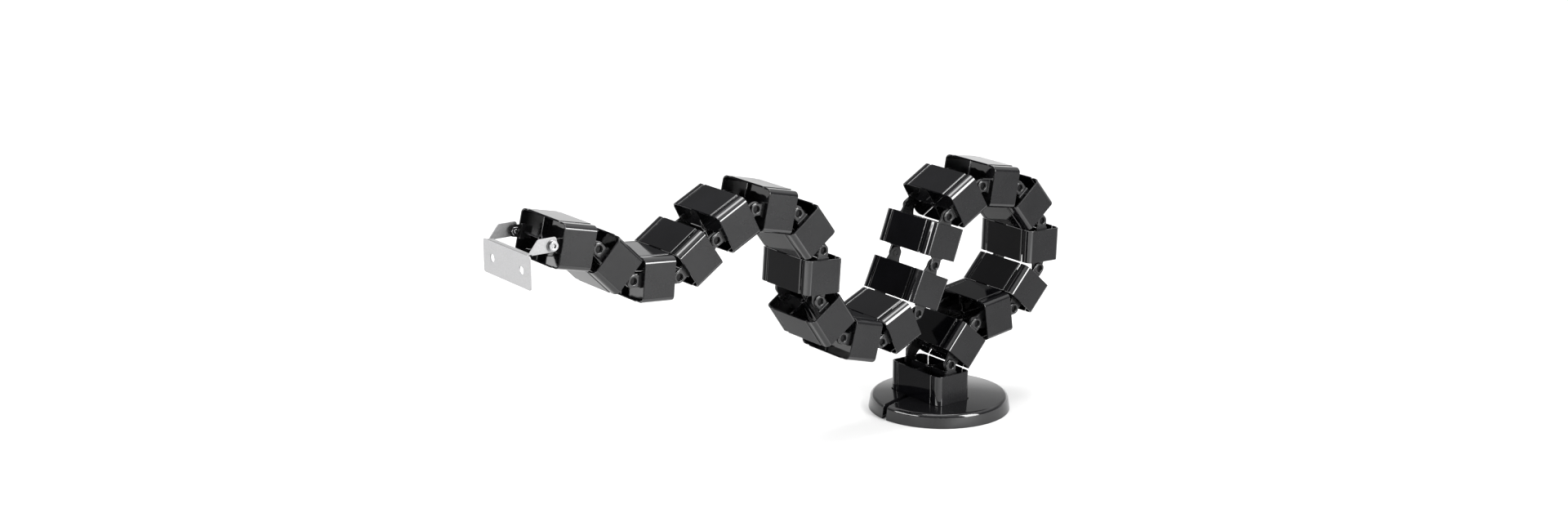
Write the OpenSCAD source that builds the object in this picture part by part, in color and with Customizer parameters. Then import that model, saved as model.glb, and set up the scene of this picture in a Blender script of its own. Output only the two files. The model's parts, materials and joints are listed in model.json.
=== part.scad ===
// Cable spine: a chain of hinged links on a weighted foot, with a sheet steel bracket at its free end.
// Millimetres. X runs along the plane in which the chain bends, Z is up, the foot's underside is at z = 0.

/* [Chain] */
// distance from hinge to hinge
pitch = 60; // [58:1:70]
// length of a link's shell along the chain
shell_len = 40; // [36:1:40]
// width of a link, along the hinge axes
link_w = 92; // [88:1:110]
// thickness of a link, across the wide faces
link_d = 51; // [46:1:51]
// outer radius of a link's long corners
corner_r = 6; // [4:0.5:8]
// wall thickness of the shells, plates and webs
wall = 2; // [1.6:0.2:2.4]
// angle of each hinge in degrees, from the foot to the bracket, positive to the left
bends = [-41, -41, 40, 40, 41, 41, 40, 40, -4, -41, -40, -41, -38, 40, 41, 40, 7, -39, -40, 32]; // [-42:1:42]

/* [Cable passages] */
// width of a wide face's middle plate
plate_w = 63; // [58:1:66]
// gap beside the plate, through which cables are pushed in
slit = 2; // [1.5:0.1:3]
// how far the plates stand proud of the side shells
plate_proud = 0.6; // [0.2:0.1:1]
// diameter of the round core where the webs cross
core_d = 9; // [7:0.5:12]
// bore of the core
core_bore = 4; // [3:0.5:5]

/* [Hinges] */
// distance between the outer faces of the two tabs
tab_span = 80; // [76:1:82]
// thickness of a tab or lug
tab_t = 3; // [2.5:0.1:3.4]
// width of a tab, and of its round end
tab_w = 14; // [12:0.5:15]
// width of a lug, and of its round end
lug_w = 16; // [13:0.5:17]
// hole in a tab
hole_d = 8.4; // [7:0.1:8.8]
// how far a pin's end lies below the tab's face
pin_recess = 1; // [0:0.1:1.2]
// how far the round end of a tab stands proud of the rest
ring_h = 0.6; // [0.2:0.1:0.8]
// pin clearance, on the radius
fit = 0.05; // [0.02:0.01:0.1]
// side clearance between a tab and the lug inside it
side_gap = 0.4; // [0.3:0.1:0.8]

/* [Foot] */
// diameter at the floor
foot_d = 173; // [165:1:185]
// height of the rim, up to the edge of the crown
rim_h = 17; // [16:0.5:18]
// height of the crown at its middle
crown_h = 20.5; // [19:0.5:21]
// radius of the rim's rounded edge
rim_r = 5; // [3:0.5:6]
// how far the first link stands from the foot's middle
link_off = 15; // [12:1:18]
// height of the first hinge above the floor
hinge_h = 65; // [65:0.5:66]
// width of the cable slot
slot_w = 7; // [4:0.5:8]
// angle of the cable slot from the chain's plane, where it starts at the rim
slot_angle = 12; // [0:1:14]
// thickness of the anti-slip pad
pad_t = 1.5; // [1:0.1:2]
// diameter of the steel weight
weight_d = 154; // [140:1:156]

/* [Bracket] */
// width of the mounting plate
plate_len = 98; // [94:1:110]
// height of the mounting plate
plate_h = 37; // [34:1:44]
// sheet thickness
sheet = 1.5; // [1.2:0.1:2]
// distance between the two mounting holes
hole_pitch = 61; // [50:1:64]
// diameter of the mounting holes
mount_d = 9; // [5:0.5:10]
// distance from the hinge to the mounting face
reach = 31.5; // [29:0.5:40]
// depth of the shelf that joins the plate to the ears
shelf_d = 7; // [5:0.5:7]

/* [Hidden] */
$fn = 64;
e = 0.01;                                   // overlap that leaves no skin between cuts
links = len(bends) + 1;
shell_0 = (pitch - shell_len) / 2;          // where a shell starts along its link
shell_1 = shell_0 + shell_len;
shell_d = link_d - 2 * plate_proud;         // thickness across the side shells
pin_d = hole_d - 2 * fit;
tab_y = tab_span / 2 - tab_t;               // inner face of a tab
lug_y = tab_y - side_gap - tab_t;           // inner face of a lug
grip = 12;                                  // how far tabs and lugs run into the shell
dimple_d = 5;                               // hollow behind each pin
dimple_h = 1.5;

foot_r = foot_d / 2;
draft = 2;                                  // lean of the rim
skin = 2.5;                                 // wall of the cover
crown_r = foot_r - draft - rim_r;           // radius of the crown
crown_arc = (pow(crown_r, 2) + pow(crown_h - rim_h, 2)) / (2 * (crown_h - rim_h));
weight_top = 12.5;
flange_t = hinge_h - shell_1 - weight_top;  // flange under the first link, down to the weight
flange_w = 104;
flange_d = 62;
link_gap = 0.5;                             // clearance round the first link
window = 44;                                // clear space in the weight, under the first link
boss_d = 11;                                // screw bosses of the cover
boss_x = 57;                                // where they stand, clear of the flange
boss_y = 33;
boss_gap = 0.5;
screw_d = 4;
screw_head_d = 8;
screw_head_h = 2.6;
screw_len = 12;
boss_foot = pad_t + screw_head_h + 1;       // underside of the bosses

ear_gap = 0.4;                              // between an ear and the tab inside it
ear_y = tab_span / 2 + ear_gap;             // inner face of an ear
ear_top = 9;
ear_back = 5.5;
ear_r = 3;
ear_len = 23;                               // length of an ear's top edge
shelf_z = -5.5;                             // top of the shelf, from the hinge
plate_r = 3;
washer_d = 13.5;
washer_t = 1;
head_d = 11;
head_h = 3;
drive_af = 4;                               // hexagon socket of the hinge screws
drive_h = 1.8;
thread_d = 5;
nut_af = 9;
nut_h = 3.6;
tip = 1;                                    // thread that shows behind the nut

// heading of a link in degrees, counted from +X towards +Z
function heading(i) = i == 1 ? 90 : heading(i - 1) + bends[i - 2];
// hinge at the far end of a link, as [x, z]; hinge 0 is the near end of the first link
function hinge(i) = i == 0 ? [-link_off, hinge_h - pitch]
    : hinge(i - 1) + pitch * [cos(heading(i)), sin(heading(i))];

// ---- shared shapes ----

// box along X with round long edges, from x0 to x1, centred on the X axis
module round_bar(x0, x1, w, d, r) {
    translate([x0, -w / 2, r - d / 2]) cube([x1 - x0, w, d - 2 * r]);
    translate([x0, r - w / 2, -d / 2]) cube([x1 - x0, w - 2 * r, d]);
    for (y = [-1, 1], z = [-1, 1])
        translate([x0, y * (w / 2 - r), z * (d / 2 - r)]) rotate([0, 90, 0]) cylinder(h = x1 - x0, r = r);
}

// slab along X, centred on the X axis
module slab(x0, x1, w, d) {
    translate([x0, -w / 2, -d / 2]) cube([x1 - x0, w, d]);
}

// cylinder along Y from y0 outwards
module pin(d, y0, len) {
    translate([0, y0, 0]) rotate([-90, 0, 0]) cylinder(h = len, d = d);
}

// the same shape on both sides of the chain
module both_sides() {
    children();
    mirror([0, 1, 0]) children();
}

// ---- links ----

// two C-shaped side shells, and the middle plates of the wide faces
module shells(x0) {
    open_w = plate_w + 2 * slit;
    difference() {
        round_bar(x0, shell_1, link_w, shell_d, corner_r);
        round_bar(x0 - e, shell_1 + e, link_w - 2 * wall, shell_d - 2 * wall, corner_r - wall);
        slab(x0 - e, shell_1 + e, open_w, link_d);
    }
    for (z = [-1, 1]) translate([0, 0, z * (link_d - wall) / 2]) slab(x0, shell_1, plate_w, wall);
}

// cross that parts the four cable passages
module cross(x0) {
    slab(x0, shell_1, wall, link_d - wall);
    slab(x0, shell_1, link_w - wall, wall);
    translate([x0, 0, 0]) rotate([0, 90, 0]) cylinder(h = shell_1 - x0, d = core_d);
}

// hinge tab at the far end, with its hole left to cut
module tab() {
    translate([shell_1 - grip, tab_y, -tab_w / 2]) cube([pitch - shell_1 + grip, tab_t - ring_h, tab_w]);
    translate([pitch, 0, 0]) pin(tab_w, tab_y, tab_t);
}

// hinge lug at the near end, with the pin that turns in the tab of the link before
module lug() {
    translate([0, lug_y, -lug_w / 2]) cube([shell_0 + grip, tab_t, lug_w]);
    pin(lug_w, lug_y, tab_t);
    pin(pin_d, lug_y + tab_t - e, side_gap + tab_t - pin_recess + e);
}

module link_bores(x0) {
    translate([x0 - e, 0, 0]) rotate([0, 90, 0]) cylinder(h = shell_1 - x0 + 2 * e, d = core_bore);
    both_sides() translate([pitch, 0, 0]) pin(hole_d, tab_y - e, tab_t + 2 * e);
}

module link() {
    difference() {
        union() {
            shells(shell_0);
            cross(shell_0);
            both_sides() { tab(); lug(); }
        }
        link_bores(shell_0);
        both_sides() pin(dimple_d, lug_y - e, dimple_h + e);
    }
}

// the first link has a flange in place of its lugs, held between the weight and the cover
module first_link() {
    floor_x = shell_0 - flange_t;
    difference() {
        union() {
            shells(floor_x);
            cross(floor_x);
            both_sides() tab();
            difference() {
                round_bar(floor_x, shell_0, flange_w, flange_d, corner_r);
                round_bar(floor_x - e, shell_0 + e, link_w - wall, shell_d - wall, corner_r - wall / 2);
            }
        }
        link_bores(floor_x);
    }
}

// places a shape modelled along X on link number i
module on_link(i) {
    at = hinge(i - 1);
    color("#1b1c1e") translate([at[0], 0, at[1]]) rotate([0, -heading(i), 0]) children();
}

// ---- foot ----

// flat-bottomed lens: a disc whose top is part of a large ball
module crown(r, top) {
    intersection() {
        cylinder(h = top, r = r);
        translate([0, 0, top - crown_arc]) sphere(r = crown_arc, $fn = 200);
    }
}

// upright rounded bar round the first link
module link_hole(z0, z1, w, d, r) {
    translate([-link_off, 0, 0]) rotate([0, -90, 0]) round_bar(z0, z1, w, d, r);
}

// straight cut from the rim into the space under the first link
module cable_slot(z0, z1) {
    translate([-foot_r, 0, z0]) rotate([0, 0, slot_angle]) translate([-5, -slot_w / 2, 0])
        cube([foot_r + 5 - link_off - shell_d / 4, slot_w, z1 - z0]);
}

module boss_places() {
    for (x = [-1, 1], y = [-1, 1]) translate([x * boss_x, y * boss_y, 0]) children();
}

module base_cover() {
    cavity_r = crown_r - 2;
    rim_top = rim_h - rim_r;
    collar_z = hinge_h - shell_1;
    color("#141416") difference() {
        union() {
            difference() {
                union() {
                    crown(crown_r, crown_h);
                    translate([0, 0, rim_top]) rotate_extrude() translate([crown_r, 0]) circle(r = rim_r);
                    cylinder(h = rim_top, r1 = foot_r, r2 = crown_r + rim_r);
                }
                translate([0, 0, -e]) crown(cavity_r, crown_h - skin);
                translate([0, 0, -e]) cylinder(h = rim_top - 1, r = crown_r + rim_r - skin);
            }
            intersection() {
                crown(crown_r, crown_h - skin / 2);
                union() {
                    boss_places() translate([0, 0, boss_foot]) cylinder(h = crown_h, d = boss_d);
                    link_hole(collar_z, crown_h, link_w + 2 * (link_gap + wall),
                              link_d + 2 * (link_gap + wall), corner_r + link_gap + wall);
                }
            }
        }
        link_hole(-e, crown_h + 1, link_w + 2 * link_gap, link_d + 2 * link_gap, corner_r + link_gap);
        boss_places() translate([0, 0, pad_t]) cylinder(h = screw_len, d = screw_d);
        cable_slot(-1, crown_h + 1);
    }
}

module base_weight() {
    color("#8d9093") difference() {
        translate([0, 0, pad_t]) cylinder(h = weight_top - pad_t, d = weight_d);
        link_hole(0, weight_top + 1, link_w - 2 * wall - 4, window, corner_r);
        boss_places() translate([0, 0, boss_foot - boss_gap])
            cylinder(h = weight_top, d = boss_d + 2 * boss_gap);
        boss_places() cylinder(h = weight_top, d = screw_d + 1);
        boss_places() translate([0, 0, pad_t - e]) cylinder(h = screw_head_h + e, d = screw_head_d + 1);
        cable_slot(0, weight_top + 1);
    }
}

module base_pad() {
    color("#2a2b2d") difference() {
        cylinder(h = pad_t, r = crown_r + rim_r - skin - 0.5);
        boss_places() translate([0, 0, -e]) cylinder(h = pad_t + 2 * e, d = screw_head_d + 1);
        cable_slot(-1, pad_t + 1);
    }
}

module base_screws() {
    color("#b9bcc0") boss_places() translate([0, 0, pad_t]) {
        cylinder(h = screw_head_h, d = screw_head_d);
        cylinder(h = screw_len, d = screw_d);
    }
}

// ---- bracket ----

// places a shape modelled round the last hinge, which runs along Y through its origin
module on_end() {
    at = hinge(links);
    translate([at[0], 0, at[1]]) children();
}

// side ear: a trapezoid with its back corners rounded
module ear() {
    root = -reach + sheet;
    low = shelf_z - sheet;
    translate([0, ear_y + sheet, 0]) rotate([90, 0, 0]) linear_extrude(sheet) difference() {
        union() {
            polygon([[root, low], [root + 2, shelf_z], [ear_back - ear_len, ear_top], [ear_back - ear_r, ear_top],
                     [ear_back - ear_r, low]]);
            translate([ear_back - 2 * ear_r, low + ear_r]) square([2 * ear_r, ear_top - low - 2 * ear_r]);
            for (z = [low + ear_r, ear_top - ear_r]) translate([ear_back - ear_r, z]) circle(r = ear_r);
        }
        circle(d = hole_d);
    }
}

module bracket() {
    top = shelf_z;
    mid = top - plate_h / 2;
    color("#c9cbcd") on_end() difference() {
        union() {
            translate([-reach, plate_r - plate_len / 2, top - plate_h])
                cube([sheet, plate_len - 2 * plate_r, plate_h]);
            translate([-reach, -plate_len / 2, top - plate_h + plate_r])
                cube([sheet, plate_len, plate_h - 2 * plate_r]);
            for (y = [-1, 1], z = [-1, 1])
                translate([-reach, y * (plate_len / 2 - plate_r), mid + z * (plate_h / 2 - plate_r)])
                    rotate([0, 90, 0]) cylinder(h = sheet, r = plate_r);
            translate([-reach, -ear_y - sheet, top - sheet]) cube([shelf_d, 2 * (ear_y + sheet), sheet]);
            both_sides() ear();
        }
        for (y = [-1, 1]) translate([-reach - 1, y * hole_pitch / 2, mid]) rotate([0, 90, 0])
            cylinder(h = sheet + 2, d = mount_d);
    }
}

// shoulder screws: the shoulder turns in the tab, the thread holds the nut
module bracket_screws() {
    head_y = ear_y + sheet + washer_t;
    color("#c4c7ca") on_end() both_sides() difference() {
        union() {
            pin(head_d, head_y, head_h);
            pin(pin_d, tab_y - side_gap, head_y - tab_y + side_gap + e);
            pin(thread_d, tab_y - side_gap - nut_h - tip, nut_h + tip + e);
        }
        translate([0, head_y + head_h - drive_h, 0]) rotate([-90, 30, 0])
            cylinder(h = drive_h + e, d = drive_af / cos(30), $fn = 6);
    }
}

module bracket_washers() {
    color("#c4c7ca") on_end() both_sides() difference() {
        pin(washer_d, ear_y + sheet, washer_t);
        pin(hole_d, ear_y + sheet - e, washer_t + 2 * e);
    }
}

module bracket_nuts() {
    color("#b4b7ba") on_end() both_sides() difference() {
        translate([0, tab_y - side_gap - nut_h, 0]) rotate([-90, 0, 0])
            cylinder(h = nut_h, d = nut_af / cos(30), $fn = 6);
        pin(thread_d + 2 * fit, tab_y - side_gap - nut_h - e, nut_h + 2 * e);
    }
}

on_link(1) first_link();  // link_01
on_link(2) link();  // link_02
on_link(3) link();  // link_03
on_link(4) link();  // link_04
on_link(5) link();  // link_05
on_link(6) link();  // link_06
on_link(7) link();  // link_07
on_link(8) link();  // link_08
on_link(9) link();  // link_09
on_link(10) link();  // link_10
on_link(11) link();  // link_11
on_link(12) link();  // link_12
on_link(13) link();  // link_13
on_link(14) link();  // link_14
on_link(15) link();  // link_15
on_link(16) link();  // link_16
on_link(17) link();  // link_17
on_link(18) link();  // link_18
on_link(19) link();  // link_19
on_link(20) link();  // link_20
on_link(21) link();  // link_21
base_cover();
base_weight();
base_pad();
base_screws();
bracket();
bracket_screws();
bracket_washers();
bracket_nuts();
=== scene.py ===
import json
import math

import bpy
from mathutils import Matrix, Vector
from mathutils.geometry import delaunay_2d_cdt, tessellate_polygon


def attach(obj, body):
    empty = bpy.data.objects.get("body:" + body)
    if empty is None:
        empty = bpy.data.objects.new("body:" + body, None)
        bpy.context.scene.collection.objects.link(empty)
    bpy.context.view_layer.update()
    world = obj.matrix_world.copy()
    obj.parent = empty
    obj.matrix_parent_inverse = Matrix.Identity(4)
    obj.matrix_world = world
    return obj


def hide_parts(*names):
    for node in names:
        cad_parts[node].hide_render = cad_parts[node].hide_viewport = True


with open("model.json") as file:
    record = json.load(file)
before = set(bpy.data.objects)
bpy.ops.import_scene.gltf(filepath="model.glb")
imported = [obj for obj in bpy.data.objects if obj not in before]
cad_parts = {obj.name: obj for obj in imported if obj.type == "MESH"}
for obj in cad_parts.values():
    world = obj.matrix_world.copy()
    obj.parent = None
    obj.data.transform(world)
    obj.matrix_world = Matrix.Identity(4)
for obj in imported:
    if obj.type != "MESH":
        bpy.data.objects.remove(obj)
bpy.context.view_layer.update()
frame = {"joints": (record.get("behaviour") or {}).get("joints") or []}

# Sizes in millimetres, as in the CAD. A link lies along X, with its width along Y and its
# thickness along Z, and its near hinge at the origin.
PITCH, SHELL_0, SHELL_1 = 60, 10, 50
LINK_W, LINK_D, WALL = 92, 51, 2
ARM_Z = 24.9                 # outer face of the side shells' arms
ARM_Y = 33.5                 # where the arms start, next to the slit
CORNER_Y, CORNER_Z = 7.5, 6    # how far an arm's rounding reaches in width and in thickness
PLATE_Y, PLATE_Z = 31.5, 25.5
TAB_0, TAB_1, LUG_0, LUG_1 = 37, 40, 33.6, 36.6
HOLE_R, PIN_R = 4.2, 4.15
FOOT_R, RIM_R, RIM_Z, CROWN_H = 86.5, 5, 12, 20.5
CROWN_R = FOOT_R - 2 - RIM_R
LINK_X, HINGE_Z = -15, 65
SLOT_W, SLOT_A = 7, math.radians(12)
PAD_TOP, WEIGHT_R, WEIGHT_TOP = 1.5, 77, 12.5
SCREW_X, SCREW_Y, SCREW_CLEAR = 57, 33, 4.5
EAR_Y, SHEET, WASHER_T = 40.4, 1.5, 1

# Material numbers of a link's faces. Every other piece has one material, number 0.
SIDE, FACE, TAB, CORNER, PIN = range(5)


# ---- 2-D outlines, counter-clockwise, and the solids made from them ----

def arc(cx, cy, rx, ry, a0, a1, n=8):
    """Points of an elliptical arc from angle a0 to a1, in degrees."""
    steps = [math.radians(a0 + (a1 - a0) * k / n) for k in range(n + 1)]
    return [(cx + rx * math.cos(t), cy + ry * math.sin(t)) for t in steps]


def circle(r, n):
    """Points round the origin."""
    turns = [2 * math.pi * k / n for k in range(n)]
    return [(r * math.cos(t), r * math.sin(t)) for t in turns]


def disc(cx, cy, r, n=40):
    return arc(cx, cy, r, r, 0, 360 - 360 / n, n - 1)


def hole(cx, cy, r, n=40):
    return disc(cx, cy, r, n)[::-1]


def box(x0, x1, y0, y1, r=0.4, n=3):
    """Rectangle with round corners."""
    return (arc(x1 - r, y0 + r, r, r, -90, 0, n) + arc(x1 - r, y1 - r, r, r, 0, 90, n)
            + arc(x0 + r, y1 - r, r, r, 90, 180, n) + arc(x0 + r, y0 + r, r, r, 180, 270, n))


def softened(points, r, n=3):
    """The outline with each corner cut back by r and rounded."""
    out = []
    for k, p in enumerate(points):
        p, a, b = Vector(p), Vector(points[k - 1]), Vector(points[(k + 1) % len(points)])
        ra = min(r, (a - p).length * 0.45)
        rb = min(r, (b - p).length * 0.45)
        s, e = p + (a - p).normalized() * ra, p + (b - p).normalized() * rb
        for i in range(n + 1):
            t = i / n
            q = s * (1 - t) ** 2 + p * 2 * t * (1 - t) + e * t ** 2
            out.append((q.x, q.y))
    return out


def inset(loop, d):
    """The loop moved to its left by d."""
    out = []
    for k, p in enumerate(loop):
        p, a, b = Vector(p), Vector(loop[k - 1]), Vector(loop[(k + 1) % len(loop)])
        u, v = (p - a).normalized(), (b - p).normalized()
        m = Vector((-(u.y + v.y), u.x + v.x))
        m = m.normalized() if m.length > 1e-6 else Vector((-u.y, u.x))
        q = p + m * d / max(0.4, m.dot(Vector((-u.y, u.x))))
        out.append((q.x, q.y))
    return out


class Shape:
    """Points and faces, with a material number (paint) for each face."""

    def __init__(self):
        self.points, self.faces, self.paints = [], [], []

    def add(self, other, matrix=Matrix.Identity(4), mirror=False):
        start = len(self.points)
        flip = Matrix.Diagonal((1, -1 if mirror else 1, 1, 1))
        self.points += [flip @ (matrix @ p) for p in other.points]
        for f in other.faces:
            f = [start + i for i in f]
            self.faces.append(f[::-1] if mirror else f)
        self.paints += other.paints
        return self

    def both(self, other, matrix=Matrix.Identity(4)):
        """Adds the other shape and its mirror image across the middle, y = 0."""
        return self.add(other, matrix).add(other, matrix, mirror=True)

    def skin(self, rings, paint=0):
        """Quads between closed rings of the same count of points; returns the first point's number."""
        start, n = len(self.points), len(rings[0])
        for r in rings:
            self.points += [Vector(p) for p in r]
        for j in range(len(rings) - 1):
            for i in range(n):
                k = (i + 1) % n
                a, b = start + j * n, start + (j + 1) * n
                self.faces.append([a + i, a + k, b + k, b + i])
                self.paints.append(paint)
        return start


def prism(loops, lo, hi, edge=0.35, steps=3, paint=0, wall=None):
    """Solid from outlines in XY, along Z from lo to hi, with its end edges rounded by edge.

    The first outline runs counter-clockwise and the holes clockwise. The side faces have their
    own paint if wall is given.
    """
    wall = paint if wall is None else wall
    s = Shape()
    turns = [math.pi / 2 * k / steps for k in range(steps + 1)]
    rows = [(edge * (1 - math.cos(t)), lo + edge * (1 - math.sin(t))) for t in turns[::-1]]
    rows += [(edge * (1 - math.cos(t)), hi - edge * (1 - math.sin(t))) for t in turns]
    first, last = [], []
    for loop in loops:
        rings = [[(x, y, z) for x, y in inset(loop, d)] for d, z in rows]
        start = s.skin(rings, wall)
        n = len(loop)
        first += range(start, start + n)
        last += range(start + (len(rows) - 1) * n, start + len(rows) * n)
    flat = [[Vector((x, y, 0)) for x, y in inset(loop, edge)] for loop in loops]
    joined = [p for loop in flat for p in loop]
    for a, b, c in tessellate_polygon(flat):
        u, v = joined[b] - joined[a], joined[c] - joined[a]
        area = u.x * v.y - u.y * v.x
        if abs(area) < 1e-9:
            continue
        tri = [a, b, c] if area > 0 else [a, c, b]
        s.faces += [[last[i] for i in tri], [first[i] for i in tri[::-1]]]
        s.paints += [paint, paint]
    return s


def lathe(profile, n=64):
    """Solid turned about Z from (radius, height) points, from the bottom to the top."""
    s = Shape()
    s.skin([[(x, y, z) for x, y in circle(max(r, 0.001), n)] for r, z in profile])
    return s


# From an outline's plane and height onto the link's axes
ALONG_X = Matrix(((0, 0, 1, 0), (1, 0, 0, 0), (0, 1, 0, 0), (0, 0, 0, 1)))   # outline in (y, z)
ALONG_Y = Matrix(((0, 1, 0, 0), (0, 0, 1, 0), (1, 0, 0, 0), (0, 0, 0, 1)))   # outline in (z, x)
HALF_TURN = Matrix.Rotation(math.pi, 4, "X")
SCALE = Matrix.Scale(0.001, 4)                                               # millimetres to metres


# ---- pieces of a link ----

def side_shell(x0):
    """C-shaped side wall; its arms round off towards the narrow face."""
    cy, cz = LINK_W / 2 - CORNER_Y, ARM_Z - CORNER_Z
    ri_y, ri_z = CORNER_Y - WALL, CORNER_Z - WALL
    tip = 0.7
    outer = (arc(ARM_Y + tip, -ARM_Z + tip, tip, tip, 180, 270, 3)
             + arc(cy, -cz, CORNER_Y, CORNER_Z, -90, 0, 12)
             + arc(cy, cz, CORNER_Y, CORNER_Z, 0, 90, 12)
             + arc(ARM_Y + tip, ARM_Z - tip, tip, tip, 90, 180, 3))
    inner = ([(ARM_Y, ARM_Z - WALL)] + arc(cy, cz, ri_y, ri_z, 90, 0, 10)
             + arc(cy, -cz, ri_y, ri_z, 0, -90, 10) + [(ARM_Y, -ARM_Z + WALL)])
    s = prism([outer + inner], x0, SHELL_1, 0.5)
    # The outline lies in (y, z), so a point's first coordinate is across the link's width.
    glossy_from = cz + CORNER_Z * 0.12
    for k, f in enumerate(s.faces):
        middle = sum((s.points[i] for i in f), Vector()) / len(f)
        if abs(middle.y) > glossy_from:
            s.paints[k] = FACE if ARM_Y + tip < middle.x < cy else CORNER
    return s


def wide_plate(x0):
    """Middle plate of a wide face, with its two long edges rounded by r."""
    r = 1.3
    profile = [(-PLATE_Y, PLATE_Z - WALL), (PLATE_Y, PLATE_Z - WALL)]
    profile += arc(PLATE_Y - r, PLATE_Z - r, r, r, 0, 90, 6)
    profile += arc(r - PLATE_Y, PLATE_Z - r, r, r, 90, 180, 6)
    s = prism([profile], x0, SHELL_1, 0.5, paint=FACE)
    for k, f in enumerate(s.faces):
        if abs(sum(s.points[i].x for i in f)) / len(f) > PLATE_Y - r:
            s.paints[k] = CORNER
    return s


def cross_web(x0):
    """Cross of webs with a bored core, which parts the cable passages."""
    root, side_end, plate_end, half = 4, 44.6, 24, 1
    core_r, bore_r, back = 4.5, 2, 0.6

    def web(y0, y1, z0, z1):
        return prism([box(y0, y1, z0, z1, 0.3, 2)], x0 + back, SHELL_1 - back, 0.3, 2, paint=CORNER)

    s = Shape()
    s.both(web(root, side_end, -half, half), ALONG_X)
    s.add(web(-half, half, root, plate_end), ALONG_X)
    s.add(web(-half, half, -plate_end, -root), ALONG_X)
    core = [disc(0, 0, core_r, 32), hole(0, 0, bore_r, 24)]
    s.add(prism(core, x0, SHELL_1, 0.5, paint=CORNER), ALONG_X)
    return s


def tab():
    """Far-end tab: a rounded leaf with a raised eye, and a step where it leaves the shell."""
    half, root, eye_r, eye_0, eye_h = 7, 38, 6.6, 53.6, 0.8
    leaf = [(-half, root), (half, root)] + arc(0, PITCH, half, half, 0, 180, 20)
    eye = [(-eye_r, eye_0), (eye_r, eye_0)] + arc(0, PITCH, eye_r, eye_r, 0, 180, 20)
    step = box(-8.2, 8.2, 46, 51.6, 0.6)
    s = prism([leaf, hole(0, PITCH, HOLE_R)], TAB_0, TAB_1 - eye_h, 0.4, 2, paint=TAB, wall=CORNER)
    s.add(prism([eye, hole(0, PITCH, HOLE_R)], TAB_1 - 1.5, TAB_1, 0.5, paint=TAB, wall=CORNER))
    s.add(prism([step], 36.4, 39.8, 0.4, 2, paint=TAB))
    return s


def lug():
    """Near-end lug with its hollow pin; the leaf widens towards its root."""
    lug_r, cup_r, sunk = 8, 3.2, 0.5
    sides = [(lug_r, 4), (9.5, 9), (11, 12), (11, 20)]
    leaf = arc(0, 0, lug_r, lug_r, 180, 360, 24) + sides + [(-z, x) for z, x in sides[::-1]]
    s = prism([leaf], LUG_0, LUG_1, 0.4, 2, paint=TAB)
    pin = [disc(0, 0, PIN_R, 40), hole(0, 0, cup_r, 32)]
    s.add(prism(pin, LUG_1 - sunk, TAB_1 - 1, 0.4, paint=PIN))
    s.add(prism([disc(0, 0, cup_r + 0.2, 32)], LUG_1 - sunk, LUG_1 + 0.8, 0.1, 1, paint=PIN))
    collar = [disc(0, 0, 4.4, 32), hole(0, 0, 2.5, 24)]
    s.add(prism(collar, LUG_0 - sunk, LUG_0 + 0.3, 0.2, 2, paint=TAB))
    return s


def link_body(x0):
    """What every link has: shells and webs that start at x0, and tabs."""
    s = Shape()
    s.both(side_shell(x0), ALONG_X)
    s.add(wide_plate(x0), ALONG_X)
    s.add(wide_plate(x0), HALF_TURN @ ALONG_X)
    s.add(cross_web(x0))
    return s.both(tab(), ALONG_Y)


def link_shape():
    return link_body(SHELL_0).both(lug(), ALONG_Y)


def first_link_shape():
    """The first link runs down into the foot and has a flange there, not lugs."""
    x0, flange_t = 7.5, 2.5
    flange = [box(-52, 52, -31, 31, 6, 6), box(-45, 45, -24, 24, 5, 6)[::-1]]
    return link_body(x0).add(prism(flange, x0, x0 + flange_t, 0.3, 2), ALONG_X)


# ---- foot ----

def crown_z(r):
    """Height of the cover's outside at a distance from its middle."""
    drop = CROWN_H - RIM_Z - RIM_R
    ball = (CROWN_R ** 2 + drop ** 2) / (2 * drop)
    if r < CROWN_R:
        return CROWN_H - ball + math.sqrt(ball ** 2 - r ** 2)
    if r < CROWN_R + RIM_R:
        return RIM_Z + math.sqrt(max(0.0, RIM_R ** 2 - (r - CROWN_R) ** 2))
    return RIM_Z * (FOOT_R - r) / (FOOT_R - CROWN_R - RIM_R)


def slot_point(side, s):
    """Point of the slot's side wall, s from the rim inwards."""
    c, n = math.cos(SLOT_A), math.sin(SLOT_A)
    off = side * SLOT_W / 2
    return (-FOOT_R + s * c - off * n, s * n + off * c)


def slot_at(side, r):
    """Where that side wall crosses the circle of radius r."""
    lo, hi = -1.0, 40.0
    for _ in range(50):
        mid = (lo + hi) / 2
        if math.hypot(*slot_point(side, mid)) > r:
            lo = mid
        else:
            hi = mid
    return lo


def rim_arc(r, n):
    """Circle of radius r from the slot's lower side round to its upper side, in n steps."""
    a = math.atan2(*slot_point(-1, slot_at(-1, r))[::-1]) % (2 * math.pi)
    b = math.atan2(*slot_point(1, slot_at(1, r))[::-1]) + 2 * math.pi
    turns = [a + (b - a) * k / n for k in range(n + 1)]
    return [(r * math.cos(t), r * math.sin(t)) for t in turns]


def window_path(hw, hd, r, n=8):
    """Window about the first link, clockwise from the slot and back to it."""
    left, right = LINK_X - hd, LINK_X + hd
    return (arc(left + r, hw - r, r, r, 180, 90, n) + arc(right - r, hw - r, r, r, 90, 0, n)
            + arc(right - r, r - hw, r, r, 0, -90, n) + arc(left + r, r - hw, r, r, 270, 180, n))


def slot_wall(side, left):
    """The slot's side wall, from outside the rim to the window's left side."""
    steps = [slot_point(side, s) for s in range(-8, 46, 2)]
    corner = slot_point(side, (left + FOOT_R + side * math.sin(SLOT_A) * SLOT_W / 2) / math.cos(SLOT_A))
    return [p for p in steps if p[0] < left - 0.5] + [corner]


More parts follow.
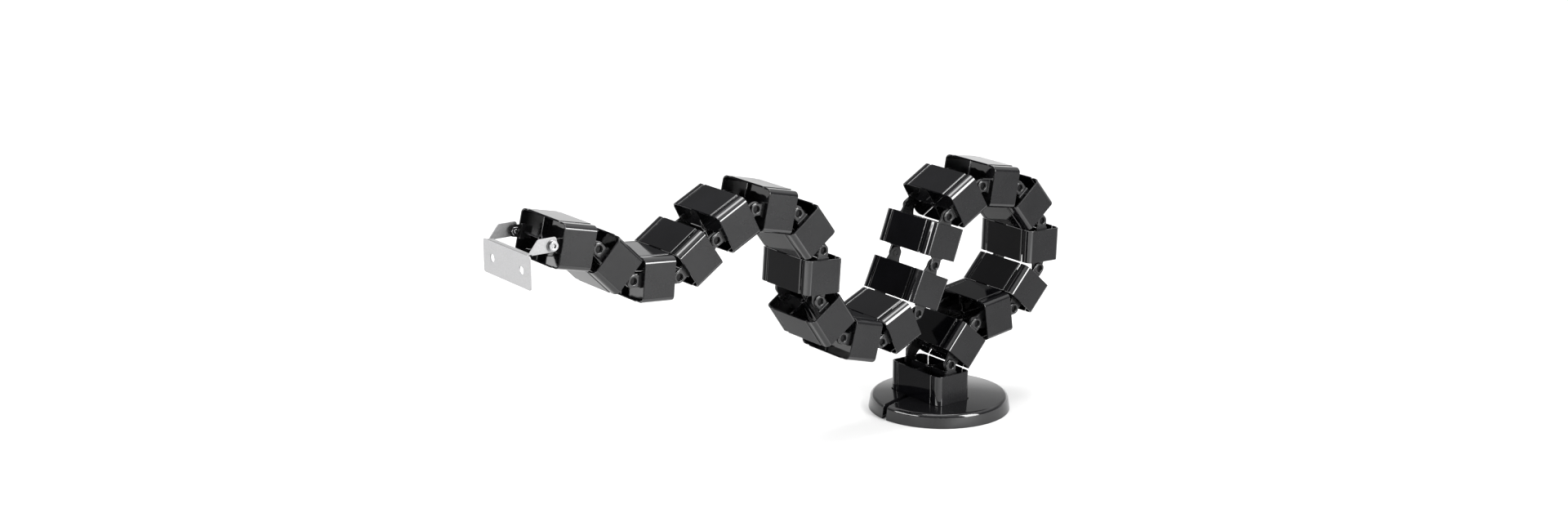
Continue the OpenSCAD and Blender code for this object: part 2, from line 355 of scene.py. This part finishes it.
def cut_path():
    """The cut's outline, open at the rim: up one side of the slot, round the first link, and back."""
    hw, hd = LINK_W / 2 + 0.5, LINK_D / 2 + 0.5
    left = LINK_X - hd
    path = slot_wall(1, left) + window_path(hw, hd, 6.5) + slot_wall(-1, left)[::-1]
    return [Vector(p) for p in path]


def fine(path, step):
    """The path with no piece longer than step."""
    out = [path[0]]
    for a, b in zip(path, path[1:]):
        n = max(1, math.ceil((b - a).length / step))
        out += [a.lerp(b, k / n) for k in range(1, n + 1)]
    return out


def distance(p, path):
    best = 1e9
    for a, b in zip(path, path[1:]):
        d = b - a
        t = max(0.0, min(1.0, (p - a).dot(d) / d.length_squared))
        best = min(best, (p - a - d * t).length)
    return best


def inside(p, loop):
    odd = False
    for k, b in enumerate(loop):
        a = loop[k - 1]
        if (a.y > p.y) != (b.y > p.y) and p.x < (b.x - a.x) * (p.y - a.y) / (b.y - a.y) + a.x:
            odd = not odd
    return odd


def moved_path(path, d):
    """The open path moved to its left by d."""
    out = []
    for k, p in enumerate(path):
        u = (p - path[k - 1]).normalized() if k else (path[1] - p).normalized()
        v = (path[k + 1] - p).normalized() if k + 1 < len(path) else u
        m = Vector((-(u.y + v.y), u.x + v.x)).normalized()
        out.append(p + m * d / max(0.5, m.dot(Vector((-u.y, u.x)))))
    return out


def cover_net(path, edge):
    """Points and fixed edges of the cover's top, seen from above."""
    points, edges = [], []

    def line(ps, closed=False):
        start = len(points)
        points.extend(ps)
        edges.extend((start + k, start + k + 1) for k in range(len(ps) - 1))
        if closed:
            edges.append((start + len(ps) - 1, start))

    for d in (0, 0.04, 0.13, 0.29, 0.5, 0.75, 1):
        line(moved_path(path, edge * d))
    radii = [FOOT_R, CROWN_R + RIM_R]
    radii += [CROWN_R + RIM_R * math.sin(math.radians(a)) for a in range(81, -1, -9)]
    for r in radii + [77.5, 74, 70, 65, 60, 55, 50, 45]:
        line([Vector(p) for p in circle(r, 240 if r > 72 else 120)], True)
    for r in range(4, 44, 5):
        line([Vector(p) for p in circle(r, max(6, int(r * 1.4)))])
    return points, edges


def cover_shape(edge=0.8):
    """The cover: crown, rounded rim and leaning side, cut for the first link and the cable slot."""
    path = fine(cut_path(), 3)
    points, edges = cover_net(path, edge)
    verts, _, faces, *_ = delaunay_2d_cdt(points, edges, [], 0, 1e-5)
    s, low = Shape(), 1.2
    for p in verts:
        d = distance(p, path)
        drop = edge - math.sqrt(max(0.0, edge ** 2 - (edge - d) ** 2)) if d < edge else 0
        s.points.append(Vector((p.x, p.y, max(0.0, crown_z(min(p.length, FOOT_R)) - drop))))
    for f in faces:
        mid = sum((verts[i] for i in f), Vector((0, 0))) / len(f)
        if mid.length > FOOT_R * 0.9999 or inside(mid, path):
            continue
        f = list(f)
        u, v = verts[f[1]] - verts[f[0]], verts[f[2]] - verts[f[0]]
        if u.x * v.y - u.y * v.x < 0:
            f.reverse()
        s.faces.append(f)
        s.paints.append(0)

    # The walls of the cut hang from the sides that only one face has, apart from the outer rim.
    sides = dict.fromkeys((f[k - 1], f[k]) for f in s.faces for k in range(len(f)))
    below = {}
    for a, b in [e for e in sides if (e[1], e[0]) not in sides]:
        at_rim = max(verts[a].length, verts[b].length) > FOOT_R * 0.9995
        if at_rim and distance((verts[a] + verts[b]) / 2, path) > 0.05:
            continue
        for i in (a, b):
            if i not in below:
                below[i] = len(s.points)
                p = s.points[i]
                s.points.append(Vector((p.x, p.y, min(p.z, low))))
        s.faces.append([b, a, below[a], below[b]])
        s.paints.append(0)
    return s.add(cover_skirt())


def cover_skirt():
    """Underside of the rim and the inner wall, open at the slot."""
    s = Shape()
    steps = 200
    profile = [(FOOT_R, 0), (FOOT_R - 2.5, 0), (FOOT_R - 4.3, 11)]
    for r, z in profile:
        s.points += [Vector((x, y, z)) for x, y in rim_arc(r, steps)]
    n = steps + 1
    for j in range(len(profile) - 1):
        for i in range(steps):
            s.faces.append([j * n + i, (j + 1) * n + i, (j + 1) * n + i + 1, j * n + i + 1])
            s.paints.append(0)
    return s


def screw_places():
    return [(x, y) for x in (-SCREW_X, SCREW_X) for y in (-SCREW_Y, SCREW_Y)]


def screw_holes():
    return [hole(x, y, SCREW_CLEAR, 24) for x, y in screw_places()]


def pad_shape():
    """Soft pad under the foot, slotted like the foot until under the first link."""
    slot_end = FOOT_R + LINK_X - ARM_Z / 2
    loop = rim_arc(CROWN_R + RIM_R - 3, 160) + [slot_point(1, slot_end), slot_point(-1, slot_end)]
    return prism([loop] + screw_holes(), 0, PAD_TOP, 0.3, 2)


def weight_shape():
    """Steel disc with the cable slot and a window under the first link."""
    hw, hd = 42, 22
    slot_end = (LINK_X - hd + FOOT_R) / math.cos(SLOT_A)
    loop = rim_arc(WEIGHT_R, 160) + [slot_point(1, slot_end)]
    loop += window_path(hw, hd, 6, 6) + [slot_point(-1, slot_end)]
    return prism([loop] + screw_holes(), PAD_TOP, WEIGHT_TOP, 0.5, 2)


def foot_screw_shape():
    """Four pan-head screws, heads down, each with a dimple for the driver."""
    head_r, shank_r, neck_z, tip_z = 4, 2, 4.1, 13.5
    head = [(0, 1.9), (1.2, 1.9), (1.5, 1.6), (3.2, 1.6), (3.8, 2.0), (head_r, 2.7), (head_r, neck_z)]
    shank = [(shank_r, neck_z), (shank_r, tip_z), (0, tip_z)]
    one = lathe(head + shank, 32)
    s = Shape()
    for x, y in screw_places():
        s.add(one, Matrix.Translation((x, y, 0)))
    return s


# ---- bracket, round the last hinge ----

def bracket_shape():
    """Bent sheet: a plate with two holes, a shelf and two ears."""
    half, height, hole_y = 49, 37, 30.5
    top, x0 = -5.5, -31.5
    root, low = x0 + SHEET, top - SHEET
    s = Shape()
    plate = box(-half, half, top - height, top, 3, 6)
    holes = [hole(y, top - height / 2, 4.5) for y in (-hole_y, hole_y)]
    s.add(prism([plate] + holes, x0, root, 0.25, 2), ALONG_X)
    shelf = box(x0 + 0.4, x0 + 7, -EAR_Y - SHEET, EAR_Y + SHEET, 0.4, 2)
    s.add(prism([shelf], low, top, 0.25, 2))
    # The ear in (x, z): along its lower edge, round the front, and back down to the plate.
    r, front_x, front_z = 3, 2.5, 6
    ear = [(root, low), (front_x, low)] + arc(front_x, low + r, r, r, -90, 0, 8)[1:]
    ear += arc(front_x, front_z, r, r, 0, 90, 8)
    ear += arc(-15, 5, 4, 4, 90, 135, 6) + [(root + 1.5, top + 0.3)]
    ear = [(z, x) for x, z in ear][::-1]
    s.both(prism([ear, hole(0, 0, HOLE_R)], EAR_Y, EAR_Y + SHEET, 0.25, 2), ALONG_Y)
    return s


def hexagon(flats):
    """Hexagon from the distance between its flats."""
    r = flats / 2 / math.cos(math.radians(30))
    turns = [math.radians(30 + 60 * k) for k in range(6)]
    return [(r * math.cos(t), r * math.sin(t)) for t in turns]


def bracket_screw_shape():
    """Socket-head shoulder screws, shoulder in the tab and thread inwards."""
    y0 = EAR_Y + SHEET + WASHER_T
    head_r, head_h, socket, socket_z = 5.5, 3, 4.4, 1.1
    head = [disc(0, 0, head_r, 48), softened(hexagon(socket), 0.2, 1)[::-1]]
    one = prism(head, y0 + socket_z, y0 + head_h, 0.5, 4)
    one.add(prism([disc(0, 0, head_r, 48)], y0, y0 + socket_z + 0.2, 0.3, 2))
    one.add(prism([disc(0, 0, PIN_R)], LUG_1, y0, 0.1, 1))
    crest, groove, lead = 2.5, 2.15, 0.8
    thread = [(0.01, 31.9), (2.0, 31.9)]
    for k in range(6):
        thread += [(crest, 32.3 + lead * k), (groove, 32.7 + lead * k)]
    thread += [(crest, 37), (0.01, 37)]
    one.add(lathe(thread, 32))
    return Shape().both(one, ALONG_Y)


def washer_shape():
    y = EAR_Y + SHEET
    one = prism([disc(0, 0, 6.75, 56), hole(0, 0, HOLE_R)], y, y + WASHER_T, 0.35)
    return Shape().both(one, ALONG_Y)


def nut_shape():
    """Nuts on the screws' threads, inside the last link's tabs."""
    one = prism([softened(hexagon(9), 0.25, 1), hole(0, 0, 2.55, 24)], 33, LUG_1, 0.5)
    return Shape().both(one, ALONG_Y)


# ---- objects ----

def piece(name, shape, matrix, paints, body, nodes, angle=40):
    """An object from a shape in millimetres, smooth but for edges sharper than angle."""
    mesh = bpy.data.meshes.new(name)
    mesh.from_pydata([tuple(SCALE @ (matrix @ p)) for p in shape.points], [], shape.faces)
    mesh.polygons.foreach_set("material_index", shape.paints)
    mesh.validate()
    mesh.polygons.foreach_set("use_smooth", [True] * len(mesh.polygons))
    mesh.set_sharp_from_angle(angle=math.radians(angle))
    for m in paints:
        mesh.materials.append(m)
    o = bpy.data.objects.new(name, mesh)
    bpy.context.scene.collection.objects.link(o)
    o.modifiers.new("even_shading", "WEIGHTED_NORMAL").keep_sharp = True
    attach(o, body)
    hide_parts(*nodes)
    return o


def link_matrices():
    """Where each link stands at rest, from the frame's joints, and where the last hinge is."""
    hinges = [Vector((LINK_X, 0, HINGE_Z - PITCH))]
    hinges += [Vector(j["pos_m"]) * 1000 for j in frame["joints"]]
    out = []
    for a, b in zip(hinges, hinges[1:]):
        turn = math.atan2(b.z - a.z, b.x - a.x)
        out.append(Matrix.Translation(a) @ Matrix.Rotation(-turn, 4, "Y"))
    return out, Matrix.Translation(hinges[-1])


# ---- materials ----

# A Mix node has sockets of the same name for each type of data. These are the colour ones.
MIX_A, MIX_B, MIX_OUT = 6, 7, 2


def material(name):
    m = bpy.data.materials.new(name)
    m.use_nodes = True
    nodes, links = m.node_tree.nodes, m.node_tree.links
    return m, nodes, links, nodes["Principled BSDF"]


def grain(nodes, links, scale, detail=3, rough=0.6):
    """Noise over the object's own coordinates."""
    where = nodes.new("ShaderNodeTexCoord")
    noise = nodes.new("ShaderNodeTexNoise")
    noise.inputs["Scale"].default_value = scale
    noise.inputs["Detail"].default_value = detail
    noise.inputs["Roughness"].default_value = rough
    links.new(where.outputs["Object"], noise.inputs["Vector"])
    return noise.outputs[0]


def ramp(nodes, links, source, ends):
    """From one colour or grey to another, over the middle third of source."""
    r = nodes.new("ShaderNodeValToRGB")
    for e, at, c in zip(r.color_ramp.elements, (0.35, 0.65), ends):
        e.position, e.color = at, (*c, 1) if isinstance(c, tuple) else (c, c, c, 1)
    links.new(source, r.inputs["Fac"])
    return r.outputs["Color"]


def tones(nodes, links, source, stops):
    """Grey steps along source, from (position, grey) pairs."""
    r = nodes.new("ShaderNodeValToRGB")
    for k, (at, g) in enumerate(stops):
        e = r.color_ramp.elements[k] if k < 2 else r.color_ramp.elements.new(at)
        e.position, e.color = at, (g, g, g, 1)
    links.new(source, r.inputs["Fac"])
    return r.outputs["Color"]


def bump(nodes, links, shader, source, strength, depth):
    b = nodes.new("ShaderNodeBump")
    b.inputs["Strength"].default_value = strength
    b.inputs["Distance"].default_value = depth
    links.new(source, b.inputs["Height"])
    links.new(b.outputs["Normal"], shader.inputs["Normal"])


def plastic(name, colours, rough, fine_scale, depth, spec=0.5):
    """Wide, faint patches of colour and gloss, and a fine texture of the given depth in metres."""
    m, nodes, links, s = material(name)
    wide = grain(nodes, links, 25, 4)
    small = grain(nodes, links, fine_scale, 3)
    links.new(ramp(nodes, links, wide, colours), s.inputs["Base Color"])
    links.new(ramp(nodes, links, wide, rough), s.inputs["Roughness"])
    s.inputs["Specular IOR Level"].default_value = spec
    bump(nodes, links, s, small, 0.5, depth)
    return m


def metal(name, colours, rough, scale, metallic=1.0):
    """One grain for colour, gloss and texture."""
    m, nodes, links, s = material(name)
    source = grain(nodes, links, scale, 4, 0.7)
    links.new(ramp(nodes, links, source, colours), s.inputs["Base Color"])
    links.new(ramp(nodes, links, source, rough), s.inputs["Roughness"])
    s.inputs["Metallic"].default_value = metallic
    bump(nodes, links, s, source, 0.2, 0.0001)
    return m


# The links' narrow faces, wide faces, hinge leaves, rounded edges with the webs, and pins. The pins are
# black plastic coloured darker than the hinge leaves, as painted shade of their ends sunk in the tabs'
# holes.
M_SIDE = plastic("moulded_plastic", ((0.0044, 0.0044, 0.0048), (0.0056, 0.0056, 0.0061)),
                 (0.26, 0.285), 2200, 0.00003, 0.18)
M_FACE = plastic("glossy_plastic", ((0.001, 0.001, 0.0014), (0.0018, 0.0018, 0.0024)),
                 (0.06, 0.08), 900, 0.000003, 0.05)
M_TAB = plastic("hinge_plastic", ((0.007, 0.007, 0.0074), (0.010, 0.010, 0.0105)),
                (0.26, 0.34), 1500, 0.00004, 0.3)
M_CORNER = plastic("edge_gloss", ((0.004, 0.004, 0.0045), (0.005, 0.005, 0.0055)),
                   (0.05, 0.06), 900, 0.0000015, 0.6)
# Pins: black plastic made darker than the leaves, painted shade of the recess round each pin's end.
M_PIN_PAINTED_SHADE = plastic("pin_plastic_painted_shade", ((0.0015, 0.0015, 0.0016), (0.0025, 0.0025, 0.0027)),
                (0.3, 0.4), 1500, 0.00004, 0.1)
LINK_PAINTS = [M_SIDE, M_FACE, M_TAB, M_CORNER, M_PIN_PAINTED_SHADE]

M_FOOT = plastic("foot_gloss", ((0.003, 0.003, 0.0034), (0.0045, 0.0045, 0.005)),
                 (0.07, 0.1), 500, 0.000004)
M_PAD = plastic("pad_rubber", (0.02, 0.03), (0.7, 0.85), 900, 0.0001)
M_IRON = metal("cast_weight", (0.2, 0.3), (0.5, 0.7), 400)
M_STEEL = metal("bright_steel", ((0.19, 0.19, 0.193), (0.25, 0.25, 0.255)), (0.16, 0.26), 700)
M_RING = metal("plated_steel", ((0.13, 0.13, 0.133), (0.18, 0.18, 0.183)), (0.25, 0.36), 700)
M_ZINC = metal("zinc_sheet", ((0.16, 0.16, 0.162), (0.22, 0.22, 0.222)), (0.4, 0.55), 900, 0.25)


# ---- build ----

def build_chain():
    places, end = link_matrices()
    first, other = first_link_shape(), link_shape()
    piece("look_link_01", first, places[0], LINK_PAINTS, "foot", ["link_01"])
    for k, place in enumerate(places[1:], 2):
        node = f"link_{k:02d}"
        piece("look_" + node, other, place, LINK_PAINTS, node, [node])
    return end


def build_foot():
    for name, shape, paint, node, slot, angle in (
            ("look_cover", cover_shape(), M_FOOT, "base_cover", "foot_plastic", 50),
            ("look_weight", weight_shape(), M_IRON, "base_weight", "weight_steel", 40),
            ("look_pad", pad_shape(), M_PAD, "base_pad", "pad_rubber", 40),
            ("look_foot_screws", foot_screw_shape(), M_STEEL, "base_screws", "foot_screws", 40)):
        piece(name, shape, Matrix.Identity(4), [paint], "foot", [node], angle)


def build_bracket(end):
    for name, shape, paint, node, slot in (
            ("look_bracket", bracket_shape(), M_ZINC, "bracket", "galvanised_sheet"),
            ("look_bracket_screws", bracket_screw_shape(), M_STEEL, "bracket_screws", "bracket_fixings"),
            ("look_washers", washer_shape(), M_RING, "bracket_washers", "bracket_fixings"),
            ("look_nuts", nut_shape(), M_STEEL, "bracket_nuts", "bracket_fixings")):
        piece(name, shape, end, [paint], "bracket", [node])


build_bracket(build_chain())
build_foot()


# ---- stage, light and camera ----

def operate(nodes, links, kind, operation, source, *values):
    """A node of arithmetic on source, with fixed values for its other inputs."""
    n = nodes.new(kind)
    n.operation = operation
    links.new(source, n.inputs[0])
    for k, value in enumerate(values, 1):
        n.inputs[k].default_value = value
    return n


def blend(nodes, links, factor, a, b, how="MIX"):
    """Colours a and b, mixed by factor. Each of the three is a node's output or a fixed value."""
    n = nodes.new("ShaderNodeMix")
    n.data_type, n.blend_type = "RGBA", how
    for socket, value in ((n.inputs["Factor"], factor), (n.inputs[MIX_A], a), (n.inputs[MIX_B], b)):
        if isinstance(value, bpy.types.NodeSocket):
            links.new(value, socket)
        else:
            socket.default_value = value
    return n.outputs[MIX_OUT]


def painted_light_and_shade_patch(nodes, links, where, painted_floor_tone, at, reach, level):
    """The floor's tone, led over to level round a point of the floor: a painted patch, of shade where
    level is low and of light where it is high, which the links' glossy faces reflect.
    """
    off = operate(nodes, links, "ShaderNodeVectorMath", "DISTANCE", where, at)
    near = nodes.new("ShaderNodeMapRange")
    near.interpolation_type = "SMOOTHSTEP"
    near.inputs["From Min"].default_value = reach
    near.inputs["From Max"].default_value = reach * 0.2
    links.new(off.outputs["Value"], near.inputs["Value"])
    return blend(nodes, links, near.outputs["Result"], painted_floor_tone, (level, level, level, 1))


def build_floor():
    """Round floor with painted light and shade: greyer near the object, where the lamps light it most,
    and paler far off, where they light it less, with two soft patches out of the camera's view, a dark
    one and a light one, painted so that the reflections in the links' narrow faces run lighter towards
    the left.
    """
    mesh = bpy.data.meshes.new("floor")
    rim = [(x, y, -0.0002) for x, y in circle(8, 96)]
    mesh.from_pydata(rim, [], [list(range(len(rim)))])
    m, nodes, links, s = material("floor_painted_light")
    where = nodes.new("ShaderNodeTexCoord").outputs["Object"]
    far = operate(nodes, links, "ShaderNodeVectorMath", "LENGTH", where).outputs["Value"]
    share = operate(nodes, links, "ShaderNodeMath", "MULTIPLY", far, 0.1).outputs[0]
    # Painted light: the floor's grey rises with the distance from the object.
    painted_floor_tone = tones(nodes, links, share, ((0.05, 0.47), (0.2, 0.66), (0.4, 0.95), (0.6, 0.97)))
    # Painted shade and light: a dark patch and a light patch on the floor, which the links' narrow faces
    # reflect.
    for at, reach, level in (((0.7, -0.95, 0), 0.8, 0.26), ((-0.08, -0.6, 0), 0.5, 0.92)):
        painted_floor_tone = painted_light_and_shade_patch(nodes, links, where, painted_floor_tone, at, reach, level)
    links.new(painted_floor_tone, s.inputs["Base Color"])
    s.inputs["Roughness"].default_value = 0.9
    mesh.materials.append(m)
    o = bpy.data.objects.new("floor", mesh)
    bpy.context.scene.collection.objects.link(o)


def build_world():
    """Backdrop whose brightness changes with height and, low down, with direction."""
    world = bpy.data.worlds.new("studio")
    bpy.context.scene.world = world
    world.use_nodes = True
    nodes, links = world.node_tree.nodes, world.node_tree.links
    where = nodes.new("ShaderNodeTexCoord").outputs["Generated"]
    split = nodes.new("ShaderNodeSeparateXYZ")
    links.new(where, split.inputs[0])
    up = split.outputs["Z"]
    height = tones(nodes, links, up, ((0, 0.4), (0.1, 0.47), (0.2, 0.4), (0.3, 0.17),
                                      (0.45, 0.12), (0.65, 0.3), (1, 0.38)))
    # How far a direction points away from the camera's side, as a share from 0 to 1.
    back = operate(nodes, links, "ShaderNodeVectorMath", "DOT_PRODUCT", where, (0.45, 0.6, 0))
    half = operate(nodes, links, "ShaderNodeMath", "MULTIPLY_ADD", back.outputs["Value"], 0.5, 0.5)
    side = tones(nodes, links, half.outputs[0], ((0.15, 0.09), (0.4, 0.12), (0.62, 0.3), (0.76, 1)))
    high = tones(nodes, links, up, ((0.25, 0), (0.6, 1)))
    even = blend(nodes, links, high, side, (1, 1, 1, 1))
    colour = blend(nodes, links, 1, height, even, "MULTIPLY")
    links.new(colour, nodes["Background"].inputs["Color"])
    nodes["Background"].inputs["Strength"].default_value = 4


def lamp(name, at, target, size_x, size_y, power):
    """Rectangular lamp that faces the target."""
    data = bpy.data.lights.new(name, "AREA")
    data.shape, data.size, data.size_y, data.energy = "RECTANGLE", size_x, size_y, power
    o = bpy.data.objects.new(name, data)
    bpy.context.scene.collection.objects.link(o)
    o.location = at
    o.rotation_mode = "QUATERNION"
    o.rotation_quaternion = (Vector(target) - Vector(at)).to_track_quat("-Z", "Y")


def build_camera():
    """The picture's view: place, heading and height above the horizon fitted to the photo."""
    data = bpy.data.cameras.new("camera")
    data.sensor_width, data.lens = 36, 54.03
    data.clip_start, data.clip_end = 0.05, 100
    o = bpy.data.objects.new("camera", data)
    bpy.context.scene.collection.objects.link(o)
    o.location = (-1.7787, -2.0945, 0.9304)
    a, e = math.radians(-36.37), math.radians(15.34)
    back = Vector((math.sin(a) * math.cos(e), -math.cos(a) * math.cos(e), math.sin(e)))
    o.rotation_mode = "QUATERNION"
    o.rotation_quaternion = (-back).to_track_quat("-Z", "Y")
    bpy.context.scene.camera = o


build_floor()
build_world()
lamp("overhead", (-0.2, 0.3, 2.4), (-0.2, 0, 0.1), 1.8, 1.2, 60)
lamp("front", (0.48, -1.75, 1.05), (0.3, 0, 0.75), 0.84, 2.0, 115)
lamp("left", (-1.8, 0.17, 0.66), (-0.1, 0.1, 0.4), 1.4, 0.5, 40)
build_camera()
bpy.context.scene.view_settings.view_transform = "Standard"
